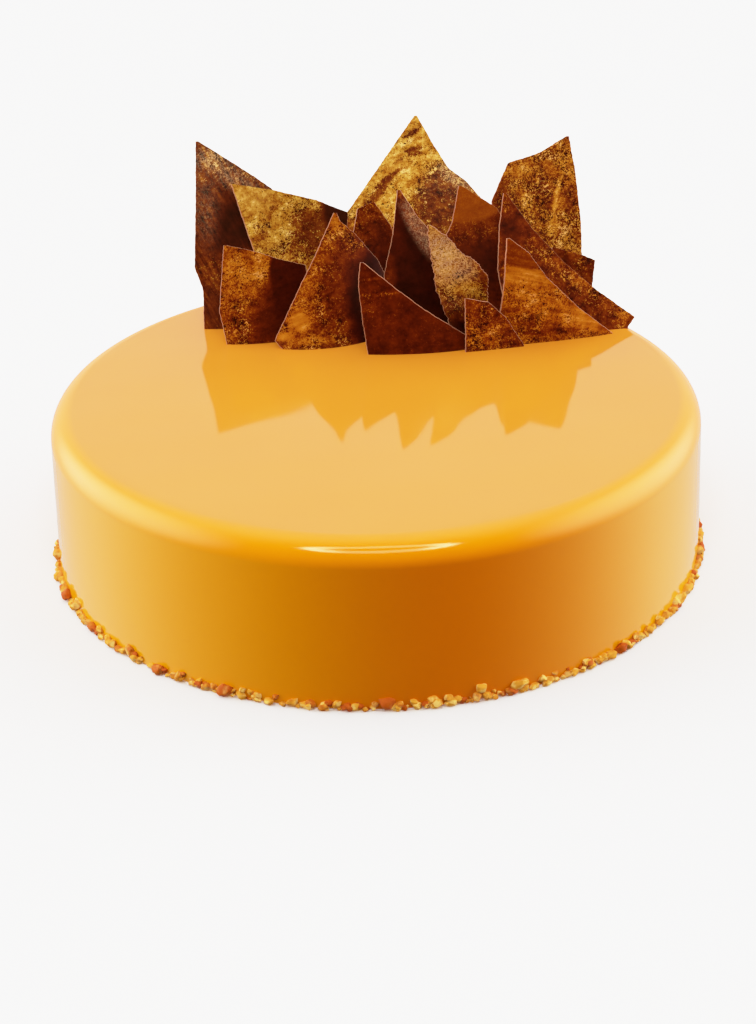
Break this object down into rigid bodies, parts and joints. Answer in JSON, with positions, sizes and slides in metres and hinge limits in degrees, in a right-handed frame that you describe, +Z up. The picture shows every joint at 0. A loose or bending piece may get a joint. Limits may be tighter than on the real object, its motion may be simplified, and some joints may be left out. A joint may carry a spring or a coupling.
{
  "type": "mirror-glazed entremet",
  "caption": "Round caramel mirror-glazed entremet with a crown of gold-dusted chocolate shards on top and chopped nuts round its foot.",
  "frame": {"origin": "centre of the cake's flat underside", "axes": "+Z up, +Y towards the half of the top where the shards stand, +X to the right seen from the front"},
  "size_m": [0.2279, 0.2308, 0.1167],
  "materials": {
    "mirror_glaze": "caramel mirror glaze, wet-looking gloss",
    "dusted_chocolate": "snapped dark chocolate dusted with gold powder",
    "toasted_nut": "chopped toasted nuts"
  },
  "bodies": {
    "root": {"cake": "mirror_glaze", "shard_back_left": "dusted_chocolate", "shard_mid_left": "dusted_chocolate", "shard_front_left": "dusted_chocolate", "shard_front_wide": "dusted_chocolate", "shard_mid_dark": "dusted_chocolate", "shard_back_centre": "dusted_chocolate", "shard_mid_spike": "dusted_chocolate", "shard_front_centre": "dusted_chocolate", "shard_mid_bronze": "dusted_chocolate", "shard_mid_copper": "dusted_chocolate", "shard_front_small": "dusted_chocolate", "shard_mid_long": "dusted_chocolate", "shard_front_right": "dusted_chocolate", "shard_back_right": "dusted_chocolate", "shard_mid_small": "dusted_chocolate"}
  },
  "joints": []
}
